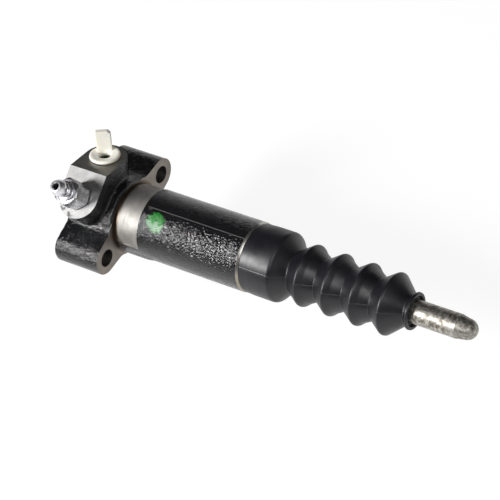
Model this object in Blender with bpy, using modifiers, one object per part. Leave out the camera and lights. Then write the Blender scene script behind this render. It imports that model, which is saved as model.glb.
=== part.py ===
"""Clutch slave cylinder: a cast body with ears and a two-faced port block, and the train inside its bore.

Metres, +Z up. The origin is on the bore's axis at the machined flange face. +X runs along the bore to the
push rod, +Y along the line of the two ears, and +Z up between the inlet port (+Y side) and the bleed port
(-Y side).
"""

import math

import bmesh
import bpy
from mathutils import Matrix, Vector

# Bore, from which the walls around it follow
BORE_RADIUS = 0.0127
BORE_END_WALL = 0.0065
BARREL_WALL = 0.0053
BOOT_SEAT_WALL = 0.0033
BARREL_LENGTH = 0.0880

# Flange and ears, cast with the body and faced on their front
EAR_SPACING = 0.0540
EAR_RADIUS = 0.0087
BOLT_HOLE_RADIUS = 0.0046
FLANGE_DEPTH = 0.0265
FLANGE_EDGE = 0.0019
ARM_TAPER = math.radians(7.0)
ARM_FILLET = 0.0060
CAST_EDGE_RADIUS = 0.0020

# Turned lengths, from the flange face forward
COLLAR_LENGTH = 0.0145
COLLAR_CUT = 0.0005
UNDERCUT_LENGTH = 0.0016
UNDERCUT_DEPTH = 0.0007

# Turned lengths, from the mouth of the bore back
BOOT_SEAT_LENGTH = 0.0135
MACHINED_RING_LENGTH = 0.0011
MACHINED_RING_CUT = 0.0002
BOOT_GROOVE_SETBACK = 0.0090
BOOT_GROOVE_LENGTH = 0.0030
BOOT_GROOVE_DEPTH = 0.0009
RING_GROOVE_SETBACK = 0.0034
RING_GROOVE_DEPTH = 0.0011
RING_WIRE_RADIUS = 0.0006
RING_GAP = math.radians(34.0)
WASHER_THICKNESS = 0.0010

# Cast pad low on the -Y side, by which the casting is held while its collar is turned
PAD_CENTRE_Z = -0.0025
PAD_HALF_HEIGHT = 0.0047
PAD_START = 0.0022
PAD_PAST_COLLAR = 0.0070

# Port block: two faces tilted either way from the top, each square to its own port
PORT_TILT = math.radians(22.5)
PORT_HEIGHT = 0.0119
PORT_OFFSET = 0.0015
PORT_FROM_BACK = 0.0107
BLOCK_RADIUS = 0.01115
BLOCK_DRAFT = math.radians(1.5)
MILLING_STOCK = 0.0015
INLET_THREAD_RADIUS = 0.0058
BLEED_THREAD_RADIUS = 0.0042
PORT_THREAD_DEPTH = 0.0125
PORT_SEAT_DEPTH = 0.0030
PORT_PASSAGE_RADIUS = 0.0014
SPOT_FACE_CHAMFER = 0.0006

# Push rod and the room round it
ROD_RADIUS = 0.0060
ROD_REACH = 0.1077
ROD_NOSE_RADIUS = 0.0051
ROD_NOSE_WRAP = math.radians(80.0)
ROD_TAPER_LENGTH = 0.0086
ROD_SWING_ROOM = 0.0026

# Piston and its seal
PISTON_LENGTH = 0.0280
PISTON_SPIGOT_LENGTH = 0.0045
PISTON_SPIGOT_RADIUS = 0.0045
SEAL_GROOVE_START = 0.0030
SEAL_GROOVE_LENGTH = 0.0052
SEAL_GROOVE_DEPTH = 0.0032
SOCKET_DEPTH = 0.0190
SOCKET_FLARE = 0.0032
SOCKET_WRAP = math.radians(80.0)

# Return spring and its seat
SPRING_SEAT_THICKNESS = 0.0008
SPRING_SEAT_ROOM = 0.0031
SPRING_WIRE_RADIUS = 0.0006
SPRING_COIL_ROOM = 0.0049
SPRING_TURNS = 9

# Dust boot, from the mouth of the bore to the lip on the rod
BOOT_WALL = 0.0016
BOOT_CUFF_OVERHANG = 0.0090
BOOT_SHOULDER_RADIUS = 0.0080
BOOT_FIRST_CREST_GAP = 0.0085
BOOT_FOLD_PITCH = 0.01535
BOOT_FOLDS = 4
BOOT_VALLEY_ROOM = 0.0049
BOOT_FOLD_DEPTH = 0.0049
BOOT_CREST_ROUNDING = 0.0012
BOOT_FOLD_SIDE = math.radians(35.0)
BOOT_LAST_CONE = 0.00905
BOOT_NECK_WALL = 0.0020
BOOT_NECK_LENGTH = 0.0031
BOOT_LIP_STEP = 0.0010
BOOT_LIP_HALF_WIDTH = 0.0018

# Bleed screw
HEX_CORNER_RADIUS = 0.0073
HEX_START = 0.0009
HEX_TOP = 0.0120
HEX_FACE_RADIUS = 0.0062
HEX_TURN = math.radians(10.0)
HEX_CHAMFER = math.radians(30.0)
SCREW_SHOULDER_RADIUS = 0.0049
SCREW_SHOULDER_HEIGHT = 0.0012
SCREW_NECK_RADIUS = 0.0033
NIPPLE_RADIUS = 0.0042
NIPPLE_TIP_RADIUS = 0.0028
NIPPLE_TOP = 0.0226
NIPPLE_TAPER_LENGTH = 0.0030
NIPPLE_BULB_LENGTH = 0.0008
NIPPLE_BARB_LENGTH = 0.0014
NIPPLE_HOLE_RADIUS = 0.0016

# Transit plug
PLUG_HEAD_RADIUS = 0.0079
PLUG_HEAD_THICKNESS = 0.0018
PLUG_SHANK_LENGTH = 0.0090
PLUG_RECESS_RADIUS = 0.0040
TAB_WIDTH = 0.0077
TAB_THICKNESS = 0.0028
TAB_TOP = 0.0128
TAB_SETBACK = 0.0030
TAB_TURN = math.radians(36.0)

# Clearances and how finely round forms are cut
SLIDE_CLEARANCE = 0.0003
SEAT_CLEARANCE = 0.0003
CUT_MARGIN = 0.0100
FINE_SEGMENTS = 48
RUBBER_SEGMENTS = 40
COARSE_SEGMENTS = 32
SMALL_SEGMENTS = 24
WELD_DISTANCE = 0.00001
FLAT_ANGLE = math.radians(0.5)
SHARP_ANGLE = math.radians(35.0)
RIM_ANGLE = math.radians(45.0)

AXIS_ALONG_X = (0.0, math.pi / 2, 0.0)
OUTLINE_ACROSS_X = (math.pi / 2, 0.0, math.pi / 2)
FACING_MINUS_Y = (math.pi / 2, 0.0, 0.0)

# Radii that follow from the bore and the rod
BARREL_RADIUS = BORE_RADIUS + BARREL_WALL
COLLAR_RADIUS = BARREL_RADIUS - COLLAR_CUT
FLANGE_RADIUS = BARREL_RADIUS + FLANGE_EDGE
BOOT_CUFF_RADIUS = BARREL_RADIUS - MACHINED_RING_CUT
BOOT_SEAT_RADIUS = BORE_RADIUS + BOOT_SEAT_WALL
PISTON_RADIUS = BORE_RADIUS - SLIDE_CLEARANCE
SEAL_GROOVE_RADIUS = PISTON_RADIUS - SEAL_GROOVE_DEPTH
SPRING_SEAT_RADIUS = BORE_RADIUS - SPRING_SEAT_ROOM
SPRING_COIL_RADIUS = BORE_RADIUS - SPRING_COIL_ROOM
WASHER_HOLE_RADIUS = ROD_RADIUS + ROD_SWING_ROOM
SOCKET_RADIUS = ROD_RADIUS + SEAT_CLEARANCE
SOCKET_MOUTH_RADIUS = ROD_RADIUS + SOCKET_FLARE
BOOT_INNER_RADIUS = BOOT_SEAT_RADIUS + SLIDE_CLEARANCE
BOOT_BORE_RADIUS = ROD_RADIUS + SLIDE_CLEARANCE
BOOT_VALLEY_RADIUS = ROD_RADIUS + BOOT_VALLEY_ROOM
BOOT_CREST_RADIUS = BOOT_VALLEY_RADIUS + BOOT_FOLD_DEPTH
BOOT_NECK_RADIUS = ROD_RADIUS + BOOT_NECK_WALL
BOOT_LIP_RADIUS = BOOT_NECK_RADIUS + BOOT_LIP_STEP

# Places that follow, along the bore and at the ports
EAR_Y = EAR_SPACING / 2
BORE_FLOOR = BORE_END_WALL - FLANGE_DEPTH
PORT_X = PORT_FROM_BACK - FLANGE_DEPTH
PAD_END = COLLAR_LENGTH + PAD_PAST_COLLAR
PORT_FACE_DISTANCE = BARREL_RADIUS + PORT_HEIGHT
MACHINED_RING_END = BARREL_LENGTH - BOOT_SEAT_LENGTH
BARREL_CAST_END = MACHINED_RING_END - MACHINED_RING_LENGTH
BOOT_GROOVE_START = BARREL_LENGTH - BOOT_GROOVE_SETBACK
RING_GROOVE_START = BARREL_LENGTH - RING_GROOVE_SETBACK
RING_WIRE_X = RING_GROOVE_START + RING_WIRE_RADIUS + SEAT_CLEARANCE / 2
RING_GROOVE_LENGTH = 2 * RING_WIRE_RADIUS + SEAT_CLEARANCE
WASHER_FRONT = RING_GROOVE_START - SEAT_CLEARANCE / 2
WASHER_BACK = WASHER_FRONT - WASHER_THICKNESS
PISTON_FRONT = WASHER_BACK - SEAT_CLEARANCE
PISTON_BACK = PISTON_FRONT - PISTON_LENGTH
SOCKET_CENTRE = PISTON_FRONT - SOCKET_DEPTH + SOCKET_RADIUS
SPRING_SEAT_FRONT = PISTON_BACK - SEAT_CLEARANCE
SPRING_SEAT_BACK = SPRING_SEAT_FRONT - SPRING_SEAT_THICKNESS
ROD_END = BARREL_LENGTH + ROD_REACH
BOOT_START = MACHINED_RING_END + SEAT_CLEARANCE
BOOT_CUFF_END = BARREL_LENGTH + BOOT_CUFF_OVERHANG
BOOT_FIRST_CREST = BOOT_CUFF_END + BOOT_FIRST_CREST_GAP
BOOT_NECK_START = BOOT_FIRST_CREST + (BOOT_FOLDS - 1) * BOOT_FOLD_PITCH + BOOT_LAST_CONE
BOOT_LIP_CENTRE = BOOT_NECK_START + BOOT_NECK_LENGTH


def empty_the_scene():
    """Remove whatever the file opened with."""
    for old in list(bpy.data.objects):
        bpy.data.objects.remove(old, do_unlink=True)


def new_collection(name):
    """A collection of its own, linked to the scene."""
    made = bpy.data.collections.new(name)
    bpy.context.scene.collection.children.link(made)
    return made


def material(name, colour, roughness, metallic):
    """A plain Principled material."""
    made = bpy.data.materials.new(name)
    made.use_nodes = True
    shader = made.node_tree.nodes["Principled BSDF"]
    shader.inputs["Base Color"].default_value = (*colour, 1.0)
    shader.inputs["Roughness"].default_value = roughness
    shader.inputs["Metallic"].default_value = metallic
    return made


def link(thing, collection):
    """Put an object in one collection only."""
    for held in list(thing.users_collection):
        held.objects.unlink(thing)
    collection.objects.link(thing)
    return thing


def keep_as_guide(thing):
    """Mark a cutter or an operand: it shapes other objects and isn't a piece."""
    link(thing, guides)
    thing.hide_render = True
    thing.display_type = "WIRE"
    return thing


def finish_piece(thing, look):
    """A piece of the product: its collection, its material and smooth round faces."""
    link(thing, parts)
    thing.data.materials.clear()
    thing.data.materials.append(look)
    thing.data.shade_smooth()
    thing.data.set_sharp_from_angle(angle=SHARP_ANGLE)
    return thing


def arc(centre, radius, start, end, steps):
    """Points along an arc, both ends included; angles in radians from the first axis."""
    angles = [start + (end - start) * i / steps for i in range(steps + 1)]
    return [(centre[0] + radius * math.cos(a), centre[1] + radius * math.sin(a)) for a in angles]


def turned(name, profile, segments, closed=False):
    """Turn (height, radius) points about local Z.

    The points run down the outer side from top to bottom. A closed profile is a ring's section.
    """
    mesh = bpy.data.meshes.new(name)
    points = [(radius, 0.0, height) for height, radius in profile]
    edges = [(i, i + 1) for i in range(len(points) - 1)]
    if closed:
        edges.append((len(points) - 1, 0))
    mesh.from_pydata(points, edges, [])
    made = bpy.data.objects.new(name, mesh)
    bpy.context.scene.collection.objects.link(made)
    screw = made.modifiers.new("turn", "SCREW")
    screw.angle = math.tau
    screw.steps = segments
    screw.render_steps = segments
    screw.use_merge_vertices = True
    screw.merge_threshold = WELD_DISTANCE
    screw.use_smooth_shade = True
    return made


def turned_on_bore(name, profile, segments, closed=False):
    """The same, with the points as (world x, radius): the axis lies along +X."""
    made = turned(name, profile, segments, closed)
    made.rotation_euler = AXIS_ALONG_X
    return made


def curve_to_mesh(curve_object):
    """Swap a curve for a mesh with welded caps, at the same place."""
    bpy.context.view_layer.update()
    evaluated = curve_object.evaluated_get(bpy.context.evaluated_depsgraph_get())
    mesh = bpy.data.meshes.new_from_object(evaluated)
    name = curve_object.name
    place = curve_object.matrix_world.copy()
    bpy.data.objects.remove(curve_object, do_unlink=True)
    work = bmesh.new()
    work.from_mesh(mesh)
    bmesh.ops.remove_doubles(work, verts=work.verts, dist=WELD_DISTANCE)
    bmesh.ops.dissolve_limit(work, angle_limit=FLAT_ANGLE, verts=work.verts, edges=work.edges)
    bmesh.ops.recalc_face_normals(work, faces=work.faces)
    work.to_mesh(mesh)
    work.free()
    made = bpy.data.objects.new(name, mesh)
    bpy.context.scene.collection.objects.link(made)
    made.matrix_world = place
    return made


def plate(name, outline, bottom, top):
    """A flat outline given thickness between two heights on local Z."""
    curve = bpy.data.curves.new(name, "CURVE")
    curve.dimensions = "2D"
    curve.fill_mode = "BOTH"
    curve.extrude = (top - bottom) / 2
    spline = curve.splines.new("POLY")
    spline.points.add(len(outline) - 1)
    for point, (x, y) in zip(spline.points, outline):
        point.co = (x, y, 0.0, 1.0)
    spline.use_cyclic_u = True
    made = bpy.data.objects.new(name, curve)
    bpy.context.scene.collection.objects.link(made)
    made = curve_to_mesh(made)
    made.data.transform(Matrix.Translation((0.0, 0.0, (top + bottom) / 2)))
    return made


def boolean(target, operand, operation):
    """Add one exact Boolean step, and keep the operand as a guide."""
    step = target.modifiers.new(operand.name, "BOOLEAN")
    step.operation = operation
    step.solver = "EXACT"
    step.object = operand
    keep_as_guide(operand)


def ear_and_flange_outline():
    """The flange seen from the front: a disc, two ears and the arms that run into it, as (y, z) points."""
    ear = Vector((EAR_Y, 0.0))
    edge_normal = Vector((math.sin(ARM_TAPER), math.cos(ARM_TAPER)))
    inward = Vector((-math.cos(ARM_TAPER), math.sin(ARM_TAPER)))
    from_ear = ear + (EAR_RADIUS + ARM_FILLET) * edge_normal
    along = from_ear.dot(inward)
    reach = FLANGE_RADIUS + ARM_FILLET
    slide = -along - math.sqrt(along * along - from_ear.length_squared + reach * reach)
    fillet = from_ear + slide * inward
    ear_top = math.pi / 2 - ARM_TAPER
    fillet_start = ear_top - math.pi
    fillet_end = math.atan2(-fillet.y, -fillet.x)
    disc_start = math.atan2(fillet.y, fillet.x)
    quarter = arc(ear, EAR_RADIUS, 0.0, ear_top, 9)
    quarter += arc(fillet, ARM_FILLET, fillet_start, fillet_end, 5)
    quarter += arc((0.0, 0.0), FLANGE_RADIUS, disc_start, math.pi / 2, 6)[1:]
    left = [(-y, z) for y, z in reversed(quarter[:-1])]
    upper = quarter + left
    lower = [(y, -z) for y, z in reversed(upper[1:-1])]
    return upper + lower


def round_rim(made, height, radius):
    """Round the edge that runs round a plate at one height on local Z, as a casting's edges are."""
    work = bmesh.new()
    work.from_mesh(made.data)
    rim = [e for e in work.edges if all(abs(v.co.z - height) < WELD_DISTANCE for v in e.verts)]
    rim = [e for e in rim if e.calc_face_angle(0.0) > RIM_ANGLE]
    bmesh.ops.bevel(work, geom=rim, offset=radius, segments=3, profile=0.5, affect="EDGES")
    work.to_mesh(made.data)
    work.free()
    return made


def flange_casting():
    """The outline carried back as long bosses, with its rear rim rounded as cast."""
    made = plate("cylinder_body", ear_and_flange_outline(), -FLANGE_DEPTH, 0.0)
    round_rim(made, -FLANGE_DEPTH, CAST_EDGE_RADIUS)
    made.rotation_euler = OUTLINE_ACROSS_X
    return made


def barrel_casting():
    """Collar, cast barrel, machined ring and the turned seat that carries the boot."""
    undercut = COLLAR_RADIUS - UNDERCUT_DEPTH
    groove = BOOT_SEAT_RADIUS - BOOT_GROOVE_DEPTH
    groove_end = BOOT_GROOVE_START + BOOT_GROOVE_LENGTH
    chamfer = BOOT_GROOVE_DEPTH
    profile = [
        (BARREL_LENGTH, 0.0),
        (BARREL_LENGTH, BOOT_SEAT_RADIUS - chamfer),
        (BARREL_LENGTH - chamfer, BOOT_SEAT_RADIUS),
        (groove_end, BOOT_SEAT_RADIUS),
        (groove_end, groove),
        (BOOT_GROOVE_START, groove),
        (BOOT_GROOVE_START, BOOT_SEAT_RADIUS),
        (MACHINED_RING_END, BOOT_SEAT_RADIUS),
        (MACHINED_RING_END, BOOT_CUFF_RADIUS),
        (BARREL_CAST_END, BOOT_CUFF_RADIUS),
        (BARREL_CAST_END, BARREL_RADIUS),
        (COLLAR_LENGTH, BARREL_RADIUS),
        (COLLAR_LENGTH, COLLAR_RADIUS),
        (UNDERCUT_LENGTH, COLLAR_RADIUS),
        (UNDERCUT_LENGTH, undercut),
        (-CUT_MARGIN, undercut),
        (-CUT_MARGIN, 0.0),
    ]
    return turned_on_bore("barrel_casting", profile, FINE_SEGMENTS)


def holding_pad():
    """The pad beside the collar: a flat with one round end. The barrel swallows all but its lower edge."""
    round_centre = (PAD_END - PAD_HALF_HEIGHT, PAD_CENTRE_Z)
    outline = arc(round_centre, PAD_HALF_HEIGHT, -math.pi / 2, math.pi / 2, 8)
    outline += [(PAD_START, PAD_CENTRE_Z + PAD_HALF_HEIGHT), (PAD_START, PAD_CENTRE_Z - PAD_HALF_HEIGHT)]
    made = plate("holding_pad", outline, BORE_RADIUS, COLLAR_RADIUS)
    round_rim(made, COLLAR_RADIUS, CAST_EDGE_RADIUS / 2)
    made.rotation_euler = FACING_MINUS_Y
    return made


def at_port(thing, side):
    """Place an object at a port, +1 for the inlet or -1 for the bleed screw.

    Local Z is the port's axis, and the face lies at local z = 0.
    """
    normal = Vector((0.0, side * math.sin(PORT_TILT), math.cos(PORT_TILT)))
    along = Vector((0.0, side * math.cos(PORT_TILT), -math.sin(PORT_TILT)))
    thing.location = Vector((PORT_X, 0.0, 0.0)) + PORT_FACE_DISTANCE * normal + PORT_OFFSET * along
    thing.rotation_euler = (-side * PORT_TILT, 0.0, 0.0)
    return thing


def port_boss(name, side):
    """One arm of the port block as cast: D-shaped, run past the ridge, and wider at its foot with draft."""
    to_ridge = PORT_FACE_DISTANCE * math.tan(PORT_TILT) + PORT_OFFSET
    past_ridge = to_ridge + 2 * MILLING_STOCK
    round_end = arc((0.0, 0.0), BLOCK_RADIUS, 0.0, math.pi, 16)
    outline = [(x, side * y) for x, y in round_end]
    outline += [(-BLOCK_RADIUS, -side * past_ridge), (BLOCK_RADIUS, -side * past_ridge)]
    depth = PORT_FACE_DISTANCE
    made = plate(name, outline, -depth, MILLING_STOCK)
    spread = 1.0 + depth * math.tan(BLOCK_DRAFT) / BLOCK_RADIUS
    for vertex in made.data.vertices:
        if vertex.co.z < -depth / 2:
            vertex.co.x *= spread
            vertex.co.y *= spread
    return at_port(made, side)


def face_mill(name, side):
    """What milling a port face takes away: everything above the face."""
    wide = PORT_FACE_DISTANCE
    bpy.ops.mesh.primitive_cube_add(size=2 * wide)
    made = bpy.context.object
    made.name = name
    made.data.transform(Matrix.Translation((0.0, 0.0, wide)))
    return at_port(made, side)


def port_drilling(name, side, thread_radius):
    """Thread, conical seat and the passage into the bore."""
    reach = PORT_FACE_DISTANCE - BORE_RADIUS / 2
    profile = [
        (SPOT_FACE_CHAMFER, 0.0),
        (SPOT_FACE_CHAMFER, thread_radius + 2 * SPOT_FACE_CHAMFER),
        (-SPOT_FACE_CHAMFER, thread_radius),
        (-PORT_THREAD_DEPTH, thread_radius),
        (-PORT_THREAD_DEPTH - PORT_SEAT_DEPTH, PORT_PASSAGE_RADIUS),
        (-reach, PORT_PASSAGE_RADIUS),
        (-reach, 0.0),
    ]
    return at_port(turned(name, profile, SMALL_SEGMENTS), side)


def bore_cutter():
    """The bore with its floor, the groove for the snap ring and a chamfered mouth."""
    groove_end = RING_GROOVE_START + RING_GROOVE_LENGTH
    mouth = BORE_RADIUS + RING_GROOVE_DEPTH
    profile = [
        (BARREL_LENGTH + RING_GROOVE_DEPTH, 0.0),
        (BARREL_LENGTH + RING_GROOVE_DEPTH, mouth + RING_GROOVE_DEPTH),
        (BARREL_LENGTH - RING_GROOVE_DEPTH, BORE_RADIUS),
        (groove_end, BORE_RADIUS),
        (groove_end, mouth),
        (RING_GROOVE_START, mouth),
        (RING_GROOVE_START, BORE_RADIUS),
        (BORE_FLOOR, BORE_RADIUS),
        (BORE_FLOOR, 0.0),
    ]
    return turned_on_bore("bore", profile, FINE_SEGMENTS)


def bolt_hole(name, y):
    """A bolt hole through one ear."""
    bpy.ops.mesh.primitive_cylinder_add(
        vertices=SMALL_SEGMENTS,
        radius=BOLT_HOLE_RADIUS,
        depth=FLANGE_DEPTH + 2 * CUT_MARGIN,
        location=(-FLANGE_DEPTH / 2, y, 0.0),
        rotation=AXIS_ALONG_X,
    )
    made = bpy.context.object
    made.name = name
    return made


def cylinder_body():
    """The casting: everything cast is joined first, then bored, drilled and tapped."""
    body = flange_casting()
    boolean(body, barrel_casting(), "UNION")
    boolean(body, holding_pad(), "UNION")
    boolean(body, port_boss("inlet_boss", 1), "UNION")
    boolean(body, port_boss("bleed_boss", -1), "UNION")
    boolean(body, face_mill("inlet_face_mill", 1), "DIFFERENCE")
    boolean(body, face_mill("bleed_face_mill", -1), "DIFFERENCE")
    boolean(body, bore_cutter(), "DIFFERENCE")
    boolean(body, port_drilling("inlet_drilling", 1, INLET_THREAD_RADIUS), "DIFFERENCE")
    boolean(body, port_drilling("bleed_drilling", -1, BLEED_THREAD_RADIUS), "DIFFERENCE")
    boolean(body, bolt_hole("upper_bolt_hole", EAR_Y), "DIFFERENCE")
    boolean(body, bolt_hole("lower_bolt_hole", -EAR_Y), "DIFFERENCE")
    return finish_piece(body, material("black_paint", (0.012, 0.012, 0.014), 0.3, 0.0))


def stop_washer():
    """The plain ring that stops the piston at the mouth of the bore."""
    rim = BORE_RADIUS - SLIDE_CLEARANCE
    profile = [
        (WASHER_FRONT, WASHER_HOLE_RADIUS),
        (WASHER_FRONT, rim),
        (WASHER_BACK, rim),
        (WASHER_BACK, WASHER_HOLE_RADIUS),
    ]
    made = turned_on_bore("stop_washer", profile, FINE_SEGMENTS, closed=True)
    return finish_piece(made, material("washer_steel", (0.45, 0.45, 0.46), 0.4, 1.0))


def wire_piece(name, points, radius):
    """A round wire along a list of points, with closed ends."""
    curve = bpy.data.curves.new(name, "CURVE")
    curve.dimensions = "3D"
    curve.bevel_depth = radius
    curve.bevel_resolution = 2
    curve.use_fill_caps = True
    spline = curve.splines.new("POLY")
    spline.points.add(len(points) - 1)
    for point, place in zip(spline.points, points):
        point.co = (*place, 1.0)
    made = bpy.data.objects.new(name, curve)
    bpy.context.scene.collection.objects.link(made)
    return curve_to_mesh(made)


def snap_ring():
    """An open wire ring, sprung into the groove in front of the washer."""
    radius = BORE_RADIUS + RING_GROOVE_DEPTH - SEAT_CLEARANCE - RING_WIRE_RADIUS
    ring = arc((0.0, 0.0), radius, RING_GAP / 2, math.tau - RING_GAP / 2, 28)
    made = wire_piece("snap_ring", [(RING_WIRE_X, y, z) for y, z in ring], RING_WIRE_RADIUS)
    return finish_piece(made, material("spring_steel", (0.3, 0.3, 0.32), 0.35, 1.0))


def piston():
    """Piston with its seal groove, a spigot for the spring seat and a ball socket for the rod."""
    groove = PISTON_BACK + SEAL_GROOVE_START
    groove_end = groove + SEAL_GROOVE_LENGTH
    spigot = PISTON_BACK - PISTON_SPIGOT_LENGTH
    edge = SLIDE_CLEARANCE
    socket = arc((SOCKET_CENTRE, 0.0), SOCKET_RADIUS, SOCKET_WRAP, math.pi, 9)
    profile = socket[::-1]
    profile += [
        (PISTON_FRONT, SOCKET_MOUTH_RADIUS),
        (PISTON_FRONT, PISTON_RADIUS - edge),
        (PISTON_FRONT - edge, PISTON_RADIUS),
        (groove_end, PISTON_RADIUS),
        (groove_end, SEAL_GROOVE_RADIUS),
        (groove, SEAL_GROOVE_RADIUS),
        (groove, PISTON_RADIUS),
        (PISTON_BACK, PISTON_RADIUS),
        (PISTON_BACK, PISTON_SPIGOT_RADIUS),
        (spigot, PISTON_SPIGOT_RADIUS),
        (spigot, 0.0),
    ]
    made = turned_on_bore("piston", profile, COARSE_SEGMENTS)
    return finish_piece(made, material("piston_alloy", (0.72, 0.72, 0.73), 0.35, 1.0))


def piston_cup():
    """Rubber seal in the piston's groove, with its lip towards the fluid."""
    back = PISTON_BACK + SEAL_GROOVE_START + SEAT_CLEARANCE
    front = back + SEAL_GROOVE_LENGTH - 2 * SEAT_CLEARANCE
    inner = SEAL_GROOVE_RADIUS + SLIDE_CLEARANCE
    notch = (inner + PISTON_RADIUS) / 2
    profile = [
        (front, inner),
        (front, PISTON_RADIUS - SLIDE_CLEARANCE),
        (back, PISTON_RADIUS),
        ((back + front) / 2, notch),
        (back, inner),
    ]
    made = turned_on_bore("piston_cup", profile, COARSE_SEGMENTS, closed=True)
    return finish_piece(made, material("seal_rubber", (0.02, 0.02, 0.02), 0.6, 0.0))


def spring_seat():
    """Pressed seat on the piston's spigot, with a short sleeve that centres the spring."""
    hole = PISTON_SPIGOT_RADIUS + SLIDE_CLEARANCE
    sleeve = hole + SPRING_SEAT_THICKNESS
    sleeve_end = SPRING_SEAT_BACK - PISTON_SPIGOT_LENGTH / 2
    profile = [
        (SPRING_SEAT_FRONT, hole),
        (SPRING_SEAT_FRONT, SPRING_SEAT_RADIUS),
        (SPRING_SEAT_BACK, SPRING_SEAT_RADIUS),
        (SPRING_SEAT_BACK, sleeve),
        (sleeve_end, sleeve),
        (sleeve_end, hole),
    ]
    made = turned_on_bore("spring_seat", profile, COARSE_SEGMENTS, closed=True)
    return finish_piece(made, material("pressed_steel", (0.5, 0.5, 0.5), 0.4, 1.0))


def return_spring():
    """Light coil spring between the bore's floor and the spring seat."""
    inset = SPRING_WIRE_RADIUS + SEAT_CLEARANCE
    start = BORE_FLOOR + inset
    end = SPRING_SEAT_BACK - inset
    per_turn = 12
    count = SPRING_TURNS * per_turn
    points = []
    for i in range(count + 1):
        angle = math.tau * i / per_turn
        x = start + (end - start) * i / count
        points.append((x, SPRING_COIL_RADIUS * math.cos(angle), SPRING_COIL_RADIUS * math.sin(angle)))
    made = wire_piece("return_spring", points, SPRING_WIRE_RADIUS)
    return finish_piece(made, material("coil_steel", (0.35, 0.36, 0.38), 0.35, 1.0))


def push_rod():
    """Steel rod, domed in the piston's socket and tapered to a rounded nose outside."""
    nose_centre = ROD_END - ROD_NOSE_RADIUS
    outer = arc((nose_centre, 0.0), ROD_NOSE_RADIUS, 0.0, ROD_NOSE_WRAP, 6)
    inner = arc((SOCKET_CENTRE, 0.0), ROD_RADIUS, math.pi / 2, math.pi, 6)
    profile = outer + [(ROD_END - ROD_TAPER_LENGTH, ROD_RADIUS)] + inner
    profile = [(x - SOCKET_CENTRE, radius) for x, radius in profile]
    made = turned_on_bore("push_rod", profile, COARSE_SEGMENTS)
    made.location.x = SOCKET_CENTRE
    return finish_piece(made, material("bare_steel", (0.42, 0.40, 0.37), 0.38, 1.0))


def boot_folds(inset, rounding, steps):
    """(x, radius) points through the folds from the neck back to the shoulder.

    inset moves the wall in by its thickness, and rounding is the radius of each crest.
    """
    points = []
    for fold in reversed(range(BOOT_FOLDS)):
        crest = BOOT_FIRST_CREST + fold * BOOT_FOLD_PITCH
        top = BOOT_CREST_RADIUS - inset
        points += arc((crest, top - rounding), rounding, BOOT_FOLD_SIDE, math.pi - BOOT_FOLD_SIDE, steps)
        points.append((crest - BOOT_FOLD_PITCH / 2, BOOT_VALLEY_RADIUS - inset))
    return points


def dust_boot():
    """Rubber bellows: a cuff on the barrel, four folds, and a grooved neck with a lip on the rod."""
    shoulder_x = BOOT_CUFF_END - BOOT_SHOULDER_RADIUS
    shoulder_r = BOOT_CUFF_RADIUS - BOOT_SHOULDER_RADIUS
    lip_front = BOOT_LIP_CENTRE + BOOT_LIP_HALF_WIDTH
    lip_back = BOOT_LIP_CENTRE - BOOT_LIP_HALF_WIDTH
    cheek = BOOT_LIP_HALF_WIDTH / 2
    bead = BOOT_SEAT_RADIUS - BOOT_GROOVE_DEPTH + SLIDE_CLEARANCE
    bead_start = BOOT_GROOVE_START + SEAT_CLEARANCE
    bead_end = BOOT_GROOVE_START + BOOT_GROOVE_LENGTH - SEAT_CLEARANCE
    inner_shoulder = BARREL_LENGTH + SEAT_CLEARANCE
    outer = [
        (lip_front, BOOT_LIP_RADIUS - cheek),
        (lip_front - cheek, BOOT_LIP_RADIUS),
        (lip_back + cheek, BOOT_LIP_RADIUS),
        (lip_back, BOOT_NECK_RADIUS),
        (BOOT_NECK_START, BOOT_NECK_RADIUS),
    ]
    outer += boot_folds(0.0, BOOT_CREST_ROUNDING, 2)
    valley = math.asin((BOOT_VALLEY_RADIUS - shoulder_r) / BOOT_SHOULDER_RADIUS)
    outer += arc((shoulder_x, shoulder_r), BOOT_SHOULDER_RADIUS, valley, math.pi / 2, 5)
    outer.append((BOOT_START, BOOT_CUFF_RADIUS))
    hollow = boot_folds(BOOT_WALL, BOOT_CREST_ROUNDING / 2, 1)[::-1]
    inner = [
        (BOOT_START, BOOT_INNER_RADIUS),
        (bead_start, BOOT_INNER_RADIUS),
        (bead_start, bead),
        (bead_end, bead),
        (bead_end, BOOT_INNER_RADIUS),
        (inner_shoulder, BOOT_INNER_RADIUS),
        (shoulder_x + BOOT_SHOULDER_RADIUS / 2, BOOT_INNER_RADIUS - BOOT_WALL),
        (BOOT_CUFF_END - BOOT_WALL, shoulder_r + BOOT_WALL),
    ]
    inner += hollow
    inner += [(BOOT_NECK_START - BOOT_WALL, BOOT_BORE_RADIUS), (lip_front, BOOT_BORE_RADIUS)]
    made = turned_on_bore("dust_boot", outer + inner, RUBBER_SEGMENTS, closed=True)
    return finish_piece(made, material("boot_rubber", (0.018, 0.019, 0.022), 0.45, 0.0))


def hexagon_bar():
    """The screw's hexagon, with both ends chamfered by turning."""
    bpy.ops.mesh.primitive_cylinder_add(vertices=6, radius=HEX_CORNER_RADIUS, depth=HEX_TOP)
    hexagon = bpy.context.object
    hexagon.name = "bleed_screw"
    middle = Matrix.Translation((0.0, 0.0, (HEX_TOP + HEX_START) / 2))
    hexagon.data.transform(Matrix.Rotation(HEX_TURN, 4, "Z") @ middle)
    beyond = HEX_CORNER_RADIUS + SCREW_NECK_RADIUS / 2
    fall = (beyond - HEX_FACE_RADIUS) * math.tan(HEX_CHAMFER)
    profile = [
        (HEX_TOP, 0.0),
        (HEX_TOP, HEX_FACE_RADIUS),
        (HEX_TOP - fall, beyond),
        (HEX_START + fall, beyond),
        (HEX_START, HEX_FACE_RADIUS),
        (HEX_START, 0.0),
    ]
    return hexagon, profile


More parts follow.
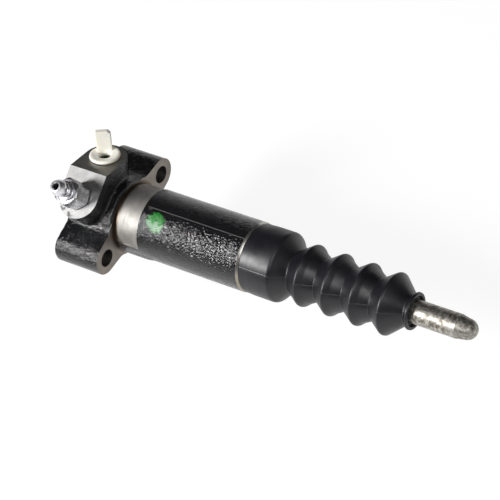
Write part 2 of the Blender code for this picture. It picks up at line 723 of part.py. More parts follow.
def bleed_screw():
    """Hexagon, grooved neck and nipple above the face, threaded shank and cone below it."""
    hexagon, profile = hexagon_bar()
    middle = (HEX_TOP + HEX_START) / 2
    overlap = HEX_TOP - middle
    shank = BLEED_THREAD_RADIUS - SLIDE_CLEARANCE
    tip = PORT_THREAD_DEPTH + PORT_SEAT_DEPTH - SEAT_CLEARANCE
    slope = (BLEED_THREAD_RADIUS - PORT_PASSAGE_RADIUS) / PORT_SEAT_DEPTH
    bulge = NIPPLE_TOP - NIPPLE_TAPER_LENGTH
    bulge_end = bulge - NIPPLE_BULB_LENGTH
    shoulder = HEX_TOP + SCREW_SHOULDER_HEIGHT
    stem_profile = [
        (NIPPLE_TOP, 0.0),
        (NIPPLE_TOP, NIPPLE_TIP_RADIUS),
        (bulge, NIPPLE_RADIUS),
        (bulge_end, NIPPLE_RADIUS),
        (bulge_end - NIPPLE_BARB_LENGTH, SCREW_NECK_RADIUS),
        (shoulder + SCREW_SHOULDER_HEIGHT, SCREW_NECK_RADIUS),
        (shoulder, SCREW_SHOULDER_RADIUS),
        (middle - overlap / 2, SCREW_SHOULDER_RADIUS),
        (HEX_START - overlap / 8, shank),
        (-PORT_THREAD_DEPTH, shank),
        (-tip, shank - (tip - PORT_THREAD_DEPTH) * slope),
        (-tip, 0.0),
    ]
    chamfers = turned("hex_chamfers", profile, COARSE_SEGMENTS)
    chamfers.data.transform(Matrix.Rotation(HEX_TURN, 4, "Z"))
    boolean(hexagon, chamfers, "INTERSECT")
    boolean(hexagon, turned("bleed_stem", stem_profile, SMALL_SEGMENTS), "UNION")
    drilling = [
        (NIPPLE_TOP + CUT_MARGIN, 0.0),
        (NIPPLE_TOP + CUT_MARGIN, NIPPLE_HOLE_RADIUS),
        (-PORT_THREAD_DEPTH / 2, NIPPLE_HOLE_RADIUS),
        (-PORT_THREAD_DEPTH / 2, 0.0),
    ]
    boolean(hexagon, turned("bleed_drilling_in_screw", drilling, SMALL_SEGMENTS), "DIFFERENCE")
    for operand in ("hex_chamfers", "bleed_stem", "bleed_drilling_in_screw"):
        at_port(bpy.data.objects[operand], -1)
    at_port(hexagon, -1)
    return finish_piece(hexagon, material("zinc_plate", (0.75, 0.76, 0.78), 0.2, 1.0))


def transit_plug():
    """Moulded cap in the inlet: a round head, a hollow shank in the port and a flat tab to pull it by.

    The hollow stops flat in front of the tab, whose face runs down into it.
    """
    shank = INLET_THREAD_RADIUS - SLIDE_CLEARANCE
    rim = PLUG_HEAD_THICKNESS / 3
    head = SEAT_CLEARANCE
    top = head + PLUG_HEAD_THICKNESS
    profile = [
        (top - rim, 0.0),
        (top - rim, PLUG_RECESS_RADIUS),
        (top, PLUG_HEAD_RADIUS - 2 * rim),
        (top - rim, PLUG_HEAD_RADIUS),
        (head + rim, PLUG_HEAD_RADIUS),
        (head, PLUG_HEAD_RADIUS - rim),
        (head, shank),
        (-PLUG_SHANK_LENGTH + rim, shank),
        (-PLUG_SHANK_LENGTH, shank - rim),
        (-PLUG_SHANK_LENGTH, 0.0),
    ]
    plug = turned("transit_plug", profile, COARSE_SEGMENTS)
    chamfer = TAB_THICKNESS / 2
    half = TAB_WIDTH / 2
    tab_outline = [
        (-half, head),
        (half, head),
        (half, TAB_TOP - chamfer),
        (half - chamfer, TAB_TOP),
        (-half, TAB_TOP),
    ]
    tab = plate("plug_tab", tab_outline, TAB_SETBACK, TAB_SETBACK + TAB_THICKNESS)
    upright = Matrix.Rotation(math.pi / 2, 4, "X") @ Matrix.Scale(-1.0, 4, (0.0, 0.0, 1.0))
    tab_place = Matrix.Rotation(TAB_TURN, 4, "Z") @ upright
    tab.data.transform(tab_place)
    tab.data.flip_normals()
    boolean(plug, tab, "UNION")
    recess = [
        (TAB_TOP, 0.0),
        (TAB_TOP, PLUG_RECESS_RADIUS),
        (-PLUG_SHANK_LENGTH / 2, PLUG_RECESS_RADIUS - rim),
        (-PLUG_SHANK_LENGTH / 2, 0.0),
    ]
    hollow = turned("plug_recess", recess, SMALL_SEGMENTS)
    wall = [
        (-TAB_WIDTH, -TAB_TOP),
        (TAB_WIDTH, -TAB_TOP),
        (TAB_WIDTH, 2 * TAB_TOP),
        (-TAB_WIDTH, 2 * TAB_TOP),
    ]
    behind_tab = plate("plug_recess_wall", wall, TAB_SETBACK - rim / 2, TAB_SETBACK + TAB_WIDTH)
    behind_tab.data.transform(tab_place)
    behind_tab.data.flip_normals()
    boolean(hollow, behind_tab, "DIFFERENCE")
    boolean(plug, hollow, "DIFFERENCE")
    for thing in (tab, behind_tab, hollow, plug):
        at_port(thing, 1)
    return finish_piece(plug, material("nylon", (0.85, 0.83, 0.72), 0.4, 0.0))


empty_the_scene()
parts = new_collection("clutch_hydraulic_cylinder")
guides = new_collection("guides")
cylinder_body()
stop_washer()
snap_ring()
piston()
piston_cup()
spring_seat()
return_spring()
push_rod()
dust_boot()
bleed_screw()
transit_plug()
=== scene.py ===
# %% [markdown] # A clutch hydraulic cylinder This notebook builds the looks of a clutch slave cylinder
# on top of a finished CAD frame. The real one is an iron casting, painted black and then machined bare
# where it seats, with a rubber bellows over its push rod. Everything below adds finer shapes and
# finishes.

# %% Load the frame
import math

import bmesh
import bpy
from mathutils import Euler, Matrix, Vector


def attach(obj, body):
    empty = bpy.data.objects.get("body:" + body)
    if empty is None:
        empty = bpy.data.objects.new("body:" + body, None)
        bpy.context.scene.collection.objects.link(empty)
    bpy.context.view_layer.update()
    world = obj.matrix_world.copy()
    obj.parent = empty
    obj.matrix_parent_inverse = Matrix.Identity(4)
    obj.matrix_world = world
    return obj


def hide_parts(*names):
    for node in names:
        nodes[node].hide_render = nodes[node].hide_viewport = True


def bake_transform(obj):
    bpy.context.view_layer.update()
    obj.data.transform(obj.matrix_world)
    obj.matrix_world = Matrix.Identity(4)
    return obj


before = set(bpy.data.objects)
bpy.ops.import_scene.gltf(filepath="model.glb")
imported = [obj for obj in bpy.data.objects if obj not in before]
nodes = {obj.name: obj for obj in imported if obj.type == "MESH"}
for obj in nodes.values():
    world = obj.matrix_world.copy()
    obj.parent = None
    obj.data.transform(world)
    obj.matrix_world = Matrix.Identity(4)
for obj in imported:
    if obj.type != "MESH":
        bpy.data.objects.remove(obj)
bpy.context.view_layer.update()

MM = 0.001
print("CAD pieces:", ", ".join(sorted(nodes)))

# %% [markdown]
# ## Outlines
# Most of this part is turned on a lathe or moulded round, so most of its shapes begin as half of an
# outline. No real edge is perfectly sharp, and it is the tiny rounding that catches the light. Each arc
# could be drawn point by point. It is quicker to give a corner its radius and let a helper put the arc
# in.

# %% Outline helpers
NEARLY_STRAIGHT = math.radians(89.0)
ARC_SHARE = 0.48


def metres(points):
    """Points given in millimetres, in metres."""
    return [tuple(value * MM for value in point) for point in points]


def arc(centre, radius, start, end, steps):
    """Points along an arc; angles in degrees."""
    angles = [math.radians(start + (end - start) * i / steps) for i in range(steps + 1)]
    return [(centre[0] + radius * math.cos(a), centre[1] + radius * math.sin(a)) for a in angles]


def rounded(points, steps=5):
    """Round the corners of an open outline. Each point is (along, across) or (along, across, radius).

    An arc takes up less than half of each side that it joins.
    """
    flat = [Vector(point[:2]) for point in points]
    out = [tuple(flat[0])]
    for before, here, after, spec in zip(flat, flat[1:], flat[2:], points[1:]):
        radius = spec[2] if len(spec) > 2 else 0.0
        back = (before - here).normalized()
        ahead = (after - here).normalized()
        half = back.angle(ahead) / 2
        if radius <= 0.0 or half > NEARLY_STRAIGHT:
            out.append(tuple(here))
            continue
        room = ARC_SHARE * min((before - here).length, (after - here).length)
        reach = min(radius / math.tan(half), room)
        centre = here + (back + ahead).normalized() * reach / math.cos(half)
        first = here + back * reach - centre
        last = here + ahead * reach - centre
        turn = first.angle_signed(last)
        for i in range(steps + 1):
            out.append(tuple(centre + Matrix.Rotation(-turn * i / steps, 2) @ first))
    out.append(tuple(flat[-1]))
    return out


print("outline helpers: metres, arc, rounded")

# %% [markdown]
# ## Solids from outlines
# An outline becomes a round solid when it is spun about an axis, and a flat one when it is given
# thickness. The Screw modifier does the spinning. Its result is turned into plain geometry straight away,
# because later steps cut and fuse it.

# %% Solid helpers
WELD = 0.001 * MM
ALONG_BORE = Euler((0.0, math.pi / 2, 0.0)).to_matrix().to_4x4()


def place_object(name, data):
    """Put a mesh, curve, lamp or camera in the scene."""
    made = bpy.data.objects.new(name, data)
    bpy.context.scene.collection.objects.link(made)
    return made


def throw_away(*spent):
    """Delete objects that have done their work."""
    for thing in spent:
        bpy.data.objects.remove(thing, do_unlink=True)


def settle(piece, name=None):
    """Turn an object and its modifiers into plain geometry, in world coordinates."""
    bpy.context.view_layer.update()
    evaluated = piece.evaluated_get(bpy.context.evaluated_depsgraph_get())
    mesh = bpy.data.meshes.new_from_object(evaluated)
    mesh.transform(piece.matrix_world)
    made_name = name or piece.name
    throw_away(piece)
    return place_object(made_name, mesh)


def turned(name, outline, segments=96, across=ALONG_BORE):
    """Spin (along, radius) points about the bore's axis, or about another one through a 4x4 matrix.

    An outline that ends where it began gives a ring.
    """
    mesh = bpy.data.meshes.new(name)
    points = [(radius, 0.0, along) for along, radius in outline]
    mesh.from_pydata(points, [(i, i + 1) for i in range(len(points) - 1)], [])
    made = place_object(name, mesh)
    made.matrix_world = across
    spin = made.modifiers.new("turn", "SCREW")
    spin.angle = math.tau
    spin.steps = segments
    spin.render_steps = segments
    spin.use_merge_vertices = True
    spin.merge_threshold = WELD
    spin.use_smooth_shade = True
    made = settle(made)
    work = bmesh.new()
    work.from_mesh(made.data)
    bmesh.ops.remove_doubles(work, verts=work.verts, dist=WELD)
    bmesh.ops.recalc_face_normals(work, faces=work.faces)
    work.to_mesh(made.data)
    work.free()
    return made


def slab(name, outline, low, high, across=Matrix.Identity(4)):
    """A flat outline given thickness between two heights."""
    work = bmesh.new()
    face = work.faces.new([work.verts.new((x, y, low)) for x, y in outline])
    lifted = bmesh.ops.extrude_face_region(work, geom=[face])["geom"]
    top = [part for part in lifted if isinstance(part, bmesh.types.BMVert)]
    bmesh.ops.translate(work, vec=(0.0, 0.0, high - low), verts=top)
    bmesh.ops.recalc_face_normals(work, faces=work.faces)
    mesh = bpy.data.meshes.new(name)
    work.to_mesh(mesh)
    work.free()
    mesh.transform(across)
    return place_object(name, mesh)


print("solid helpers: turned, slab, settle")

# %% [markdown]
# ## Joining, cutting and smoothing
# Real parts are welded, milled and drilled. Here, pieces are fused into one skin by a voxel remesh, and
# shapes are cut by Booleans. The exact solver is slower than the others, but it passes a cutter's finish
# on to the faces that the cutter leaves. Last of all, smooth shading hides the facets, and edges over a
# given angle stay crisp.

# %% Workshop helpers
def give(piece, material):
    """Give a piece its only finish."""
    piece.data.materials.clear()
    piece.data.materials.append(material)
    return piece


def join(pieces):
    """Put several meshes into the first one's object."""
    with bpy.context.temp_override(active_object=pieces[0], selected_editable_objects=pieces):
        bpy.ops.object.join()
    return pieces[0]


def fuse_and_melt(piece, voxel, rounds):
    """Fuse what overlaps into one skin, then smooth its corners over."""
    fuse = piece.modifiers.new("fuse", "REMESH")
    fuse.mode = "VOXEL"
    fuse.voxel_size = voxel
    fuse.use_smooth_shade = True
    melt = piece.modifiers.new("melt", "SMOOTH")
    melt.factor = 0.5
    melt.iterations = rounds


def cut(target, tool, operation="DIFFERENCE"):
    """One Boolean step, which keeps the tool's finish on the faces that it makes."""
    made = target.modifiers.new(tool.name, "BOOLEAN")
    made.operation = operation
    made.solver = "EXACT"
    made.object = tool
    made.material_mode = "TRANSFER"


def shade(piece, crisp_angle):
    """Smooth shading, with edges sharper than an angle in degrees kept crisp."""
    piece.data.shade_smooth()
    piece.data.set_sharp_from_angle(angle=math.radians(crisp_angle))


print("workshop helpers: give, join, fuse_and_melt, cut, shade")

# %% [markdown]
# ## Helpers for finishes
# Every finish here is procedural: noise and simple sums on the piece's own coordinates, in metres.
# Photographs wrapped round the shapes would also do, but noise has no seams and any scale. Most of these
# helpers add one shader node and wire it, so a finish reads as a short list of steps.

# %% Finish helpers
def finish(name, **constants):
    """A Principled material with fixed values, and its node tree."""
    made = bpy.data.materials.new(name)
    made.use_nodes = True
    shader = made.node_tree.nodes["Principled BSDF"]
    for key, value in constants.items():
        shader.inputs[key.replace("_", " ")].default_value = value
    return made, made.node_tree, shader


def step(tree, kind, inputs=None, **settings):
    """Add one node. Inputs are given by socket name or number, as values or as other nodes' outputs."""
    made = tree.nodes.new(kind)
    for key, value in settings.items():
        setattr(made, key, value)
    for socket, value in (inputs or {}).items():
        if isinstance(value, bpy.types.NodeSocket):
            tree.links.new(value, made.inputs[socket])
        else:
            made.inputs[socket].default_value = value
    return made


def place(tree):
    """The piece's own coordinates, whole and split into x, y and z."""
    where = step(tree, "ShaderNodeTexCoord").outputs["Object"]
    split = step(tree, "ShaderNodeSeparateXYZ", {"Vector": where}).outputs
    return where, split[0], split[1], split[2]


def maths(tree, operation, *values):
    """One sum, given as its operation and its terms."""
    return step(tree, "ShaderNodeMath", dict(enumerate(values)), operation=operation).outputs[0]


def measure(tree, operation, *values):
    """One sum on vectors that gives a number, such as a distance."""
    made = step(tree, "ShaderNodeVectorMath", dict(enumerate(values)), operation=operation)
    return made.outputs["Value"]


def joined(tree, *values):
    """Up to three numbers put together as one vector."""
    return step(tree, "ShaderNodeCombineXYZ", dict(enumerate(values))).outputs[0]


print("finish helpers: finish, step, place, maths, measure, joined")


# %% Noise, colour and bump helpers
def noise(tree, where, scale, detail=3.0, roughness=0.5):
    """Soft random grain: scale is in features a metre."""
    inputs = {"Vector": where, "Scale": scale, "Detail": detail, "Roughness": roughness}
    return step(tree, "ShaderNodeTexNoise", inputs).outputs["Fac"]


def ramp(tree, value, low, high, start, end):
    """Stretch a value: start becomes low, end becomes high, and nothing goes past them."""
    inputs = {"Value": value, "From Min": start, "From Max": end, "To Min": low, "To Max": high}
    return step(tree, "ShaderNodeMapRange", inputs).outputs["Result"]


def blend_colours(tree, amount, first, second):
    """Mix two colours; each is a list of three numbers or another node's colour."""
    made = tree.nodes.new("ShaderNodeMix")
    made.data_type = "RGBA"
    for socket, value in ((0, amount), (6, first), (7, second)):
        if isinstance(value, bpy.types.NodeSocket):
            tree.links.new(value, made.inputs[socket])
        else:
            made.inputs[socket].default_value = (*value, 1.0) if socket else value
    return made.outputs[2]


def bump(tree, height, distance):
    """Tilt the surface as if it had this height, in metres."""
    inputs = {"Height": height, "Distance": distance, "Strength": 1.0}
    return step(tree, "ShaderNodeBump", inputs).outputs["Normal"]


print("finish helpers: noise, ramp, blend_colours, bump")

# %% [markdown]
# ## Marks on the paint
# The barrel carries a green inspection dab and a thin parting line, where the two halves of the mould
# met. Both could be separate meshes laid on the surface. As masks in the finish they follow every bump of
# the skin. Each is worked out from how far a point is along the barrel and round it.

# %% Dab and parting line
BARREL_R = 18.0 * MM
DAB_X = 23.6 * MM
DAB_ANGLE = math.radians(-25.0)
DAB_RADIUS = 5.4 * MM
DAB_SOFT_EDGE = 1.2 * MM
DAB_RAGGEDNESS = 2.2 * MM
PARTING_ANGLE = math.radians(-3.5)
PARTING_START = 16.5 * MM
PARTING_INNER = 0.008
PARTING_OUTER = 0.018

paint, tree, shader = finish("black_paint", Metallic=0.0, IOR=1.55)
where, x, y, z = place(tree)
around = maths(tree, "ARCTAN2", y, z)
on_top = maths(tree, "GREATER_THAN", z, 0.0)

along_dab = maths(tree, "SUBTRACT", x, DAB_X)
across_dab = maths(tree, "MULTIPLY", maths(tree, "SUBTRACT", around, DAB_ANGLE), BARREL_R)
from_dab = measure(tree, "LENGTH", joined(tree, along_dab, across_dab))
ragged = ramp(tree, noise(tree, where, 420.0, 4.0, 0.6), -DAB_RAGGEDNESS, DAB_RAGGEDNESS, 0.2, 0.8)
dab_reach = maths(tree, "ADD", from_dab, ragged)
dab = ramp(tree, dab_reach, 1.0, 0.0, DAB_RADIUS - DAB_SOFT_EDGE, DAB_RADIUS)
dab = maths(tree, "MULTIPLY", dab, on_top)

from_parting = maths(tree, "ABSOLUTE", maths(tree, "SUBTRACT", around, PARTING_ANGLE))
parting = ramp(tree, from_parting, 1.0, 0.0, PARTING_INNER, PARTING_OUTER)
parting = maths(tree, "MULTIPLY", parting, maths(tree, "GREATER_THAN", x, PARTING_START))
parting = maths(tree, "MULTIPLY", parting, on_top)
print("dab and parting line:", len(tree.nodes), "nodes so far")

# %% [markdown]
# ## Black paint on a cast skin
# Sand leaves a pebbled skin on a casting. Thick gloss paint rounds the pebbles off, and each one then
# throws its own small glint, so a highlight on the barrel breaks up into sparkle. Two sizes of noise give
# the pebbles, and a third, slow one makes some patches a little greyer and less glossy than others. The
# dab is paler on the side where the barrel's highlight runs, a painted highlight.

# %% Paint finish
PEBBLE_SCALE = 1650.0
GRAIN_SCALE = 2600.0
PATCH_SCALE = 120.0
PEBBLE_HEIGHT = 0.36 * MM
BLACKS = ((0.004, 0.004, 0.005), (0.010, 0.010, 0.011))
PARTING_HIGHLIGHT_GREY = (0.45, 0.44, 0.42)
GREENS = ((0.006, 0.11, 0.010), (0.020, 0.25, 0.030))
DAB_HIGHLIGHT_GREEN = (0.26, 0.40, 0.27)

pebbles = noise(tree, where, PEBBLE_SCALE, 0.6, 0.4)
grains = noise(tree, where, GRAIN_SCALE, 2.0, 0.5)
patches = noise(tree, where, PATCH_SCALE)

black = blend_colours(tree, patches, *BLACKS)
# The parting line is tinted towards grey: a painted highlight along its ridge.
black = blend_colours(tree, maths(tree, "MULTIPLY", parting, 0.25), black, PARTING_HIGHLIGHT_GREY)
# Painted highlight: the dab is paled on the side where the barrel's highlight runs.
dab_highlight_reach = maths(tree, "ADD", across_dab, maths(tree, "MULTIPLY", ragged, 1.5))
dab_highlight = ramp(tree, dab_highlight_reach, 1.0, 0.0, -1.5 * MM, 1.0 * MM)
green = blend_colours(tree, ramp(tree, grains, 0.0, 1.0, 0.35, 0.6), *GREENS)
green = blend_colours(tree, maths(tree, "MULTIPLY", dab_highlight, 0.5), green, DAB_HIGHLIGHT_GREEN)
tree.links.new(blend_colours(tree, dab, black, green), shader.inputs["Base Color"])
tree.links.new(ramp(tree, patches, 0.06, 0.12, 0.3, 0.7), shader.inputs["Roughness"])

height = maths(tree, "ADD", pebbles, maths(tree, "MULTIPLY", grains, 0.08))
height = maths(tree, "ADD", height, maths(tree, "MULTIPLY", parting, 0.6))
tree.links.new(bump(tree, height, PEBBLE_HEIGHT), shader.inputs["Normal"])
print("paint:", len(tree.nodes), "nodes")

# %% [markdown]
# ## Bare machined iron
# A lathe leaves fine rings and a milling cutter leaves arcs. The marks run round the tool's axis, so each
# finish feeds the noise a single number: how far a point is along the bore, or how far it is from the
# middle of the cut. Stained patches, painted shade with a little grime by the undercut, a darker and browner
# tone low on a ring and a few casting pits are added where a surface shows them.

# %% Marks that tools and handling leave
GROOVE_REACH = (1.6 * MM, 3.0 * MM)
GROOVE_RADII = (18.4 * MM, 19.4 * MM)
LOWER_TONE_HEIGHTS = (4.0 * MM, 13.0 * MM)
PIT_REACH = (3.6 * MM, 5.4 * MM)
PIT_SCALE = 620.0
PIT_COLOUR = (0.05, 0.05, 0.05)


def tool_marks(tree, where, x, scale, centre):
    """Grain that changes only along the bore, or only with the distance from a centre."""
    distance = x if centre is None else measure(tree, "DISTANCE", where, centre)
    return noise(tree, joined(tree, distance), scale, 4.0, 0.7)


def groove_grime_and_shade(tree, x, y, z):
    """How much painted shade, with a little grime, lies by the undercut between the flange and the collar.
    """
    near_face = ramp(tree, x, 1.0, 0.0, *GROOVE_REACH)
    near_collar = ramp(tree, measure(tree, "LENGTH", joined(tree, y, z)), 0.7, 0.0, *GROOVE_RADII)
    return maths(tree, "MULTIPLY", near_face, near_collar)


def casting_pits(tree, where, centre):
    """A few pits round one point."""
    holes = ramp(tree, noise(tree, where, PIT_SCALE, 1.0, 0.4), 1.0, 0.0, 0.40, 0.46)
    near = ramp(tree, measure(tree, "DISTANCE", where, centre), 1.0, 0.0, *PIT_REACH)
    return maths(tree, "MULTIPLY", holes, near)


print("marks: tool_marks, groove_grime_and_shade, casting_pits")

# %% Machined metal
MARK_HEIGHT = 0.03 * MM
STAIN_SCALE = 160.0
STAIN_DARKNESS = 0.72


def machined(name, colour, roughness, marks, centre=None, grime_and_shade=None, lower_tone=None, pits=None):
    """Bare cut metal. centre is the point that its marks run round, or None for marks along the bore.

    The two optional colours paint shade with a little grime by the undercut, and make the metal darker
    and browner towards the bottom; pits is a point. Each is left out where the metal has none.
    """
    made, tree, shader = finish(name, Metallic=1.0)
    where, x, y, z = place(tree)
    rings = tool_marks(tree, where, x, marks, centre)
    stain = noise(tree, where, STAIN_SCALE, 4.0, 0.6)
    tone = maths(tree, "ADD", maths(tree, "MULTIPLY", stain, 0.6), maths(tree, "MULTIPLY", rings, 0.4))
    dark = [channel * STAIN_DARKNESS for channel in colour]
    metal = blend_colours(tree, ramp(tree, tone, 0.0, 1.0, 0.4, 0.62), dark, colour)
    height = rings
    if grime_and_shade is not None:
        # Painted shade, with a little grime, darkens and browns the metal in the undercut.
        metal = blend_colours(tree, groove_grime_and_shade(tree, x, y, z), metal, grime_and_shade)
    if lower_tone is not None:
        # Darker and browner towards the bottom.
        metal = blend_colours(tree, ramp(tree, z, 0.75, 0.0, *LOWER_TONE_HEIGHTS), metal, lower_tone)
    if pits is not None:
        holes = casting_pits(tree, where, pits)
        metal = blend_colours(tree, maths(tree, "MULTIPLY", holes, 0.7), metal, PIT_COLOUR)
        height = maths(tree, "SUBTRACT", rings, maths(tree, "MULTIPLY", holes, 6.0))
    tree.links.new(metal, shader.inputs["Base Color"])
    gloss = ramp(tree, rings, roughness * 0.8, roughness * 1.25, 0.3, 0.7)
    tree.links.new(gloss, shader.inputs["Roughness"])
    tree.links.new(bump(tree, height, MARK_HEIGHT), shader.inputs["Normal"])
    return made


print("machined metal: marks", MARK_HEIGHT / MM, "mm deep")

# %% [markdown]
# ## Where the ports are
# The inlet and the bleed port lie side by side on a block, each tilted 22.5 degrees outwards. Everything
# on a port is easier to draw on its own axis, so one matrix takes that drawing to its place on the
# casting.

# %% Ports and metals
PORT_TILT = math.radians(22.5)
PORT_DISTANCE = 29.9 * MM
PORT_OFFSET = 1.5 * MM
PORT_X = -15.8 * MM


def port_frame(side):
    """A port's 4x4 matrix: local Z is its axis, z = 0 its face. side is +1 at the inlet, -1 at the bleed."""
    tilt = Matrix.Rotation(-side * PORT_TILT, 4, "X")
    sideways = Matrix.Translation((0.0, side * PORT_OFFSET, PORT_DISTANCE))
    return Matrix.Translation((PORT_X, 0.0, 0.0)) @ tilt @ sideways


BORE_CENTRE = (0.0, 0.0, 0.0)
INLET_CENTRE = port_frame(1).translation
BLEED_CENTRE = port_frame(-1).translation
BLEED_PITS = port_frame(-1) @ Vector((-3.8 * MM, -7.0 * MM, 0.0))

collar_metal = machined("turned_collar", (0.42, 0.405, 0.38), 0.60, 1500.0, grime_and_shade=(0.13, 0.10, 0.07))
flange_metal = machined(
    "faced_flange", (0.27, 0.24, 0.21), 0.46, 1500.0, BORE_CENTRE, grime_and_shade=(0.10, 0.07, 0.045))
# The seat ring is darker and browner towards its bottom.
seat_metal = machined("turned_seat", (0.56, 0.54, 0.50), 0.34, 3400.0, lower_tone=(0.30, 0.25, 0.18))
inlet_metal = machined("milled_inlet_face", (0.36, 0.35, 0.33), 0.40, 1400.0, INLET_CENTRE)
bleed_metal = machined(
    "milled_bleed_face", (0.44, 0.435, 0.43), 0.54, 1400.0, BLEED_CENTRE, pits=BLEED_PITS)
bore_metal = machined("honed_bore", (0.42, 0.41, 0.40), 0.34, 1800.0)
print("bleed face at", [round(value / MM, 1) for value in BLEED_CENTRE], "mm")

# %% [markdown]
# ## The rough casting
# The real body is cast a little oversize and then cut to size, and the same order works here. The rough
# forms below are simple: a flange with two ears, a barrel, two arms of the port block and a flat pad by
# which the casting is held in the lathe. Most carry extra stock where a tool will take it off. The flange
# itself stops just short of its face, and only a band across the ears stands proud of it. Facing then
# leaves bare metal on the ears, and paint stays on the flange above and below the collar.

# %% Outline of the flange
FLANGE_DEPTH = 26.5 * MM
FLANGE_R = 19.9 * MM
EAR_Y = 27.0 * MM
EAR_R = 8.7 * MM
ARM_TAPER = 7.0
ARM_FILLET = 6.0 * MM


def flange_outline():
    """Disc, two ears and the arms between them, as (y, z) points; a quarter is drawn and mirrored twice."""
    taper = math.radians(ARM_TAPER)
    ear = Vector((EAR_Y, 0.0))
    outward = Vector((math.sin(taper), math.cos(taper)))
    inward = Vector((-math.cos(taper), math.sin(taper)))
    from_ear = ear + (EAR_R + ARM_FILLET) * outward
    along = from_ear.dot(inward)
    reach = FLANGE_R + ARM_FILLET
    slide = -along - math.sqrt(along * along - from_ear.length_squared + reach * reach)
    fillet = from_ear + slide * inward
    fillet_angle = math.degrees(math.atan2(fillet.y, fillet.x))
    quarter = arc(ear, EAR_R, 0.0, 90.0 - ARM_TAPER, 18)
    quarter += arc(fillet, ARM_FILLET, -90.0 - ARM_TAPER, fillet_angle - 180.0, 10)[1:]
    quarter += arc((0.0, 0.0), FLANGE_R, fillet_angle, 90.0, 12)[1:]
    upper = quarter + [(-a, b) for a, b in reversed(quarter[:-1])]
    return upper + [(a, -b) for a, b in reversed(upper[1:-1])]


print("flange outline:", len(flange_outline()), "points")

# %% Rough forms
STOCK = 1.5 * MM
FLANGE_FRONT = -0.3 * MM
EARS_BACK = -5.0 * MM
PROUD_HALF = 12.5 * MM
BODY_BACK = -20.0 * MM
BODY_END = 88.0 * MM
BLOCK_R = 11.15 * MM
PAD_END = 21.5 * MM
PAD_Z = -2.5 * MM
PAD_HALF = 4.7 * MM
PAD_ROOT = 12.0 * MM
PAD_FACE = 17.5 * MM
FACING_X = Euler((math.pi / 2, 0.0, math.pi / 2)).to_matrix().to_4x4()
FACING_MINUS_Y = Matrix.Rotation(math.pi / 2, 4, "X")


def block_outline(side):
    """One arm of the port block: a round end, and straight sides that run past the ridge."""
    past_ridge = PORT_DISTANCE * math.tan(PORT_TILT) + PORT_OFFSET + 2 * STOCK
    outline = [(a, side * b) for a, b in arc((0.0, 0.0), BLOCK_R, 0.0, 180.0, 32)]
    return outline + [(-BLOCK_R, -side * past_ridge), (BLOCK_R, -side * past_ridge)]


barrel_front = BODY_END + STOCK
barrel_outline = [(barrel_front, 0.0), (barrel_front, BARREL_R), (BODY_BACK, BARREL_R), (BODY_BACK, 0.0)]
pad_outline = arc((PAD_END - PAD_HALF, PAD_Z), PAD_HALF, -90.0, 90.0, 16)
pad_outline += [(-STOCK, PAD_Z + PAD_HALF), (-STOCK, PAD_Z - PAD_HALF)]
proud_outline = [(a, max(-PROUD_HALF, min(PROUD_HALF, b))) for a, b in flange_outline()]
rough_forms = [
    slab("flange", flange_outline(), -FLANGE_DEPTH, FLANGE_FRONT, FACING_X),
    slab("ears", proud_outline, EARS_BACK, STOCK, FACING_X),
    turned("barrel", barrel_outline),
    slab("pad", pad_outline, PAD_ROOT, PAD_FACE, FACING_MINUS_Y),
    slab("inlet_arm", block_outline(1), -PORT_DISTANCE, STOCK, port_frame(1)),
    slab("bleed_arm", block_outline(-1), -PORT_DISTANCE, STOCK, port_frame(-1)),
]
casting = join(rough_forms)
print("rough casting:", len(casting.data.polygons), "faces before fusing")

# %% [markdown]
# ## A cast skin
# Molten iron fills a mould of sand, so a casting has soft fillets and an uneven skin. Fillets could be
# bevelled edge by edge, but not where six forms run into each other. A voxel remesh makes one skin of all
# of them, and smoothing melts its corners. Two displacements then make it uneven: long waves and small
# lumps.

# %% Fuse, melt and roughen
VOXEL = 0.55 * MM
SKIN = (("waves", 6.0 * MM), ("lumps", 1.2 * MM))
SKIN_HEIGHT = 0.12 * MM

fuse_and_melt(casting, VOXEL, 9)
for cloud_name, size in SKIN:
    clouds = bpy.data.textures.new(cloud_name, "CLOUDS")
    clouds.noise_scale = size
    clouds.noise_depth = 2
    roughen = casting.modifiers.new(cloud_name, "DISPLACE")
    roughen.texture = clouds
    roughen.strength = SKIN_HEIGHT
    roughen.mid_level = 0.5
casting = give(settle(casting, "casting"), paint)
print("fused casting:", len(casting.data.polygons), "faces")

# %% [markdown]
# ## Tools for the machining
# Each cutter is the space that a real tool sweeps: a facing ring for the flange, a turning ring for the
# collar, a mill for each port face, drills, and the bore. Each carries the bare metal that it leaves.
# Where a cutter meets the uneven skin, the edge of the paint comes out ragged by itself. The turning ring
# has a gap in it, because the pad stays as it was cast.

# %% Drills and mills
FAR = 60.0 * MM
WIDE_SQUARE = [(-FAR, -FAR), (FAR, -FAR), (FAR, FAR), (-FAR, FAR)]
BOLT_HOLE_R = 4.6 * MM
INLET_THREAD_R = 5.8 * MM
BLEED_THREAD_R = 4.2 * MM
PASSAGE_R = 1.4 * MM


def port_drill(name, side, radius):
    """Chamfer, thread hole, cone and passage of a port."""
    profile = [
        (1.0 * MM, 0.0), (1.0 * MM, radius + 1.6 * MM), (-0.6 * MM, radius), (-12.5 * MM, radius),
        (-15.5 * MM, PASSAGE_R), (-24.0 * MM, PASSAGE_R), (-24.0 * MM, 0.0),
    ]
    return give(turned(name, profile, 48, port_frame(side)), bore_metal)


def bolt_drill(name, y):
    """A drill right through an ear."""
    profile = [(5.0 * MM, 0.0), (5.0 * MM, BOLT_HOLE_R), (-35.0 * MM, BOLT_HOLE_R), (-35.0 * MM, 0.0)]
    made = turned(name, profile, 64)
    made.data.transform(Matrix.Translation((0.0, y, 0.0)))
    return give(made, bore_metal)


def mill(name, side, metal):
    """A big flat-bottomed block over a port face."""
    return give(slab(name, WIDE_SQUARE, 0.0, FAR, port_frame(side)), metal)


